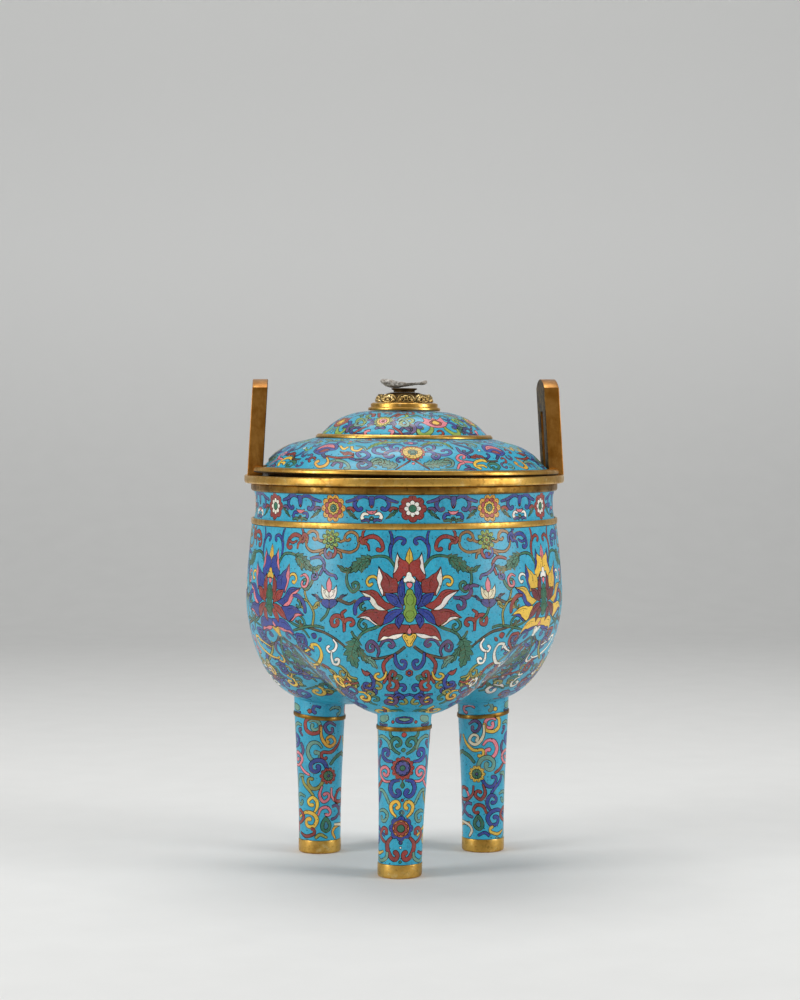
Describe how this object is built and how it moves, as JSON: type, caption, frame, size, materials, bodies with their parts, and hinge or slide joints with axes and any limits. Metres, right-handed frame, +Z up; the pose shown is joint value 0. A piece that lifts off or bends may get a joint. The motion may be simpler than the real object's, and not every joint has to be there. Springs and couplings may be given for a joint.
{
  "type": "lidded tripod incense burner",
  "caption": "Round enamelled bowl that swells into three pouches on tubular legs, with two upright loop handles and a domed lift-off lid.",
  "frame": {"origin": "on the floor, under the middle of the bowl", "axes": "+Z up, +X through the right-hand handle, -Y towards the front leg, which stands 3.5 degrees off that axis"},
  "size_m": [0.3324, 0.3324, 0.5],
  "materials": {
    "enamel": "polished turquoise cloisonne enamel with gilt wires on copper",
    "gilt_bronze": "worn mercury gilding on bronze",
    "dark_bronze": "corroded brown bronze",
    "stone": "broken pale hardstone"
  },
  "bodies": {
    "vessel": {"belly_bowl": "enamel", "neck_collar": "enamel", "belt_ring": "gilt_bronze", "mouth_rim_lower": "gilt_bronze", "mouth_rim_upper": "gilt_bronze", "handle_right": "gilt_bronze", "handle_left": "gilt_bronze", "leg_front_tube": "enamel", "leg_front_ring": "gilt_bronze", "leg_front_foot": "gilt_bronze", "leg_right_tube": "enamel", "leg_right_ring": "gilt_bronze", "leg_right_foot": "gilt_bronze", "leg_left_tube": "enamel", "leg_left_ring": "gilt_bronze", "leg_left_foot": "gilt_bronze"},
    "lid": {"lid_flange": "gilt_bronze", "lid_lower_dome": "enamel", "lid_band": "gilt_bronze", "lid_crown_dome": "enamel", "finial_base": "gilt_bronze", "finial_lappets": "gilt_bronze", "finial_seat": "dark_bronze", "finial_stem": "dark_bronze", "finial_stone": "stone", "finial_stud": "dark_bronze", "finial_washer": "dark_bronze", "finial_nut": "dark_bronze"}
  },
  "joints": [
    {"name": "lid_lift", "type": "slide", "parent": "vessel", "child": "lid", "axis": [0, 0, 1], "range_m": [0, 0.25]}
  ]
}
